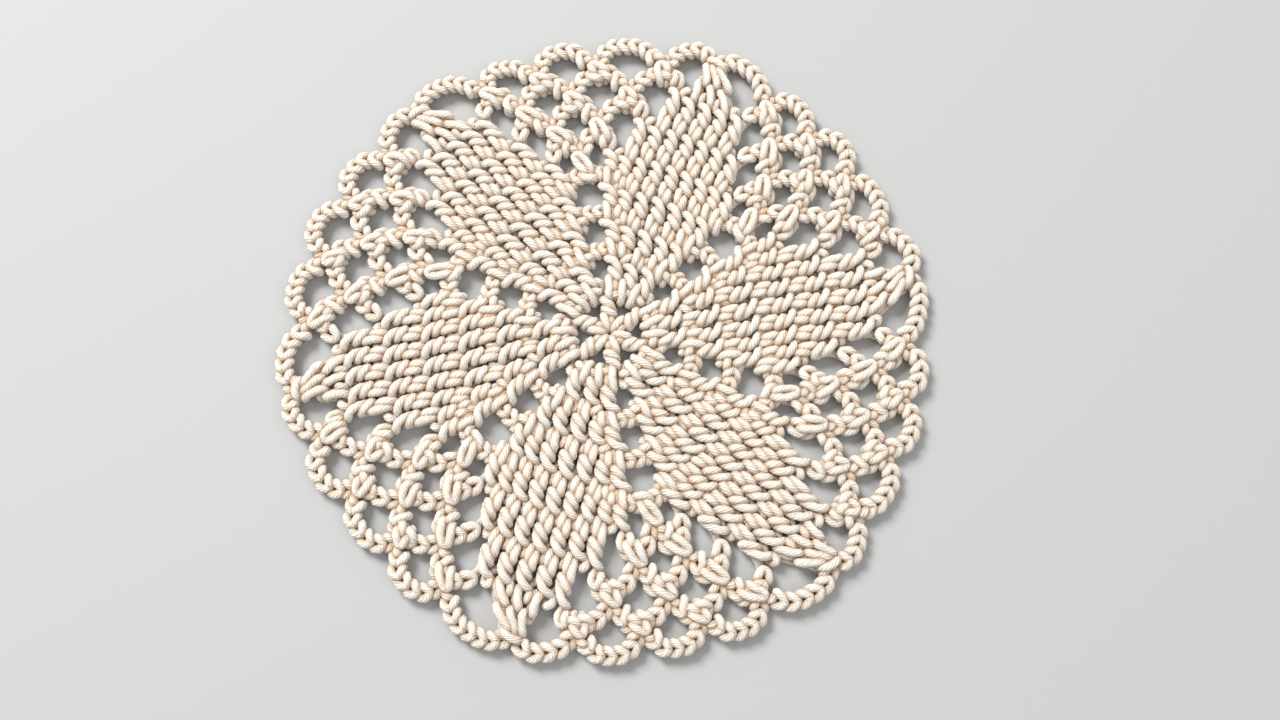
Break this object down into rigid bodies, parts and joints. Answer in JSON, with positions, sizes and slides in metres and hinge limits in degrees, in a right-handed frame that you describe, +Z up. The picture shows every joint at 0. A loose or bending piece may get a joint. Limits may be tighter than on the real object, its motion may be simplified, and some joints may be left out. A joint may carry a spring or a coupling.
{
  "type": "crocheted lace doily",
  "caption": "Round crocheted cotton lace doily with radiating petals, a chain net between them and a scalloped edge, lying flat.",
  "frame": {"origin": "middle of the doily's underside, where its first round begins, on the surface it lies on", "axes": "+Z up through the doily, its face upwards; +X to the right and +Y away from the viewer as the picture shows it"},
  "size_m": [0.1902, 0.1888, 0.0048],
  "materials": {
    "cotton_yarn": "matt ecru cotton yarn, plied and slightly fuzzy"
  },
  "bodies": {
    "root": {"doily": "cotton_yarn"}
  },
  "joints": []
}
